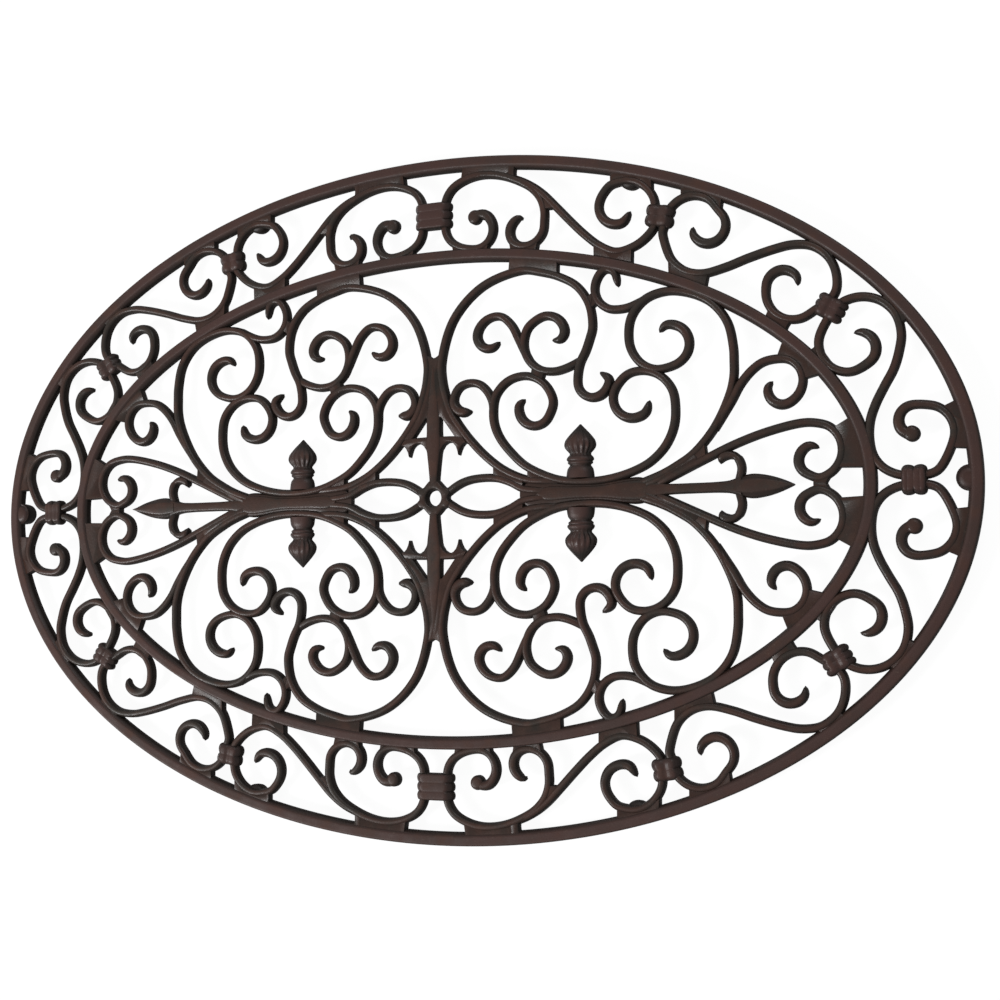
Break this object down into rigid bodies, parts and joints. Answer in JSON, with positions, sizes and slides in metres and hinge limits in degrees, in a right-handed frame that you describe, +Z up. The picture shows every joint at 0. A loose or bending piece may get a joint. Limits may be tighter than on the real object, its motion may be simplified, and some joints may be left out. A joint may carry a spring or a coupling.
{
  "type": "door mat",
  "caption": "Oval cast iron door mat: open scrollwork of round-topped bars between two oval bands, tied with ridged clips, on low round feet.",
  "frame": {"origin": "on the floor under the middle of the mat, between the undersides of the feet", "axes": "+X along the mat, +Y across it towards its back edge, +Z up"},
  "size_m": [0.721, 0.465, 0.0145],
  "materials": {
    "band_iron": "satin dark brown paint on cast iron, fine grain",
    "scroll_iron": "satin dark brown paint on cast iron, rubbed crests",
    "boss_iron": "satin dark brown paint on cast iron, rubbed ridges"
  },
  "bodies": {
    "root": {"outer_rim": "band_iron", "inner_ring": "band_iron", "side_scroll_back_right": "scroll_iron", "side_scroll_back_left": "scroll_iron", "side_scroll_front_right": "scroll_iron", "side_scroll_front_left": "scroll_iron", "hook_scroll_back_right": "scroll_iron", "hook_scroll_back_left": "scroll_iron", "hook_scroll_front_right": "scroll_iron", "hook_scroll_front_left": "scroll_iron", "long_scroll_back_right": "scroll_iron", "long_scroll_back_left": "scroll_iron", "long_scroll_front_right": "scroll_iron", "long_scroll_front_left": "scroll_iron", "end_scroll_back_right": "scroll_iron", "end_scroll_back_left": "scroll_iron", "end_scroll_front_right": "scroll_iron", "end_scroll_front_left": "scroll_iron", "lyre_scroll_back_right": "scroll_iron", "lyre_scroll_back_left": "scroll_iron", "lyre_scroll_front_right": "scroll_iron", "lyre_scroll_front_left": "scroll_iron", "inner_loop_back_right": "scroll_iron", "inner_loop_back_left": "scroll_iron", "inner_loop_front_right": "scroll_iron", "inner_loop_front_left": "scroll_iron", "heart_scroll_back_right": "scroll_iron", "heart_scroll_back_left": "scroll_iron", "heart_scroll_front_right": "scroll_iron", "heart_scroll_front_left": "scroll_iron", "fan_scroll_back_right": "scroll_iron", "fan_scroll_back_left": "scroll_iron", "fan_scroll_front_right": "scroll_iron", "fan_scroll_front_left": "scroll_iron", "outer_loop_back_right": "scroll_iron", "outer_loop_back_left": "scroll_iron", "outer_loop_front_right": "scroll_iron", "outer_loop_front_left": "scroll_iron", "spear_right": "scroll_iron", "spear_left": "scroll_iron", "finial_back_right": "boss_iron", "finial_back_left": "boss_iron", "finial_front_right": "boss_iron", "finial_front_left": "boss_iron", "centre_rosette": "scroll_iron", "side_clip_back": "boss_iron", "side_clip_front": "boss_iron", "end_clip_right": "boss_iron", "end_clip_left": "boss_iron", "tie_clip_back_right": "boss_iron", "tie_clip_back_left": "boss_iron", "tie_clip_front_right": "boss_iron", "tie_clip_front_left": "boss_iron", "corner_clip_back_right": "boss_iron", "corner_clip_back_left": "boss_iron", "corner_clip_front_right": "boss_iron", "corner_clip_front_left": "boss_iron"}
  },
  "joints": []
}
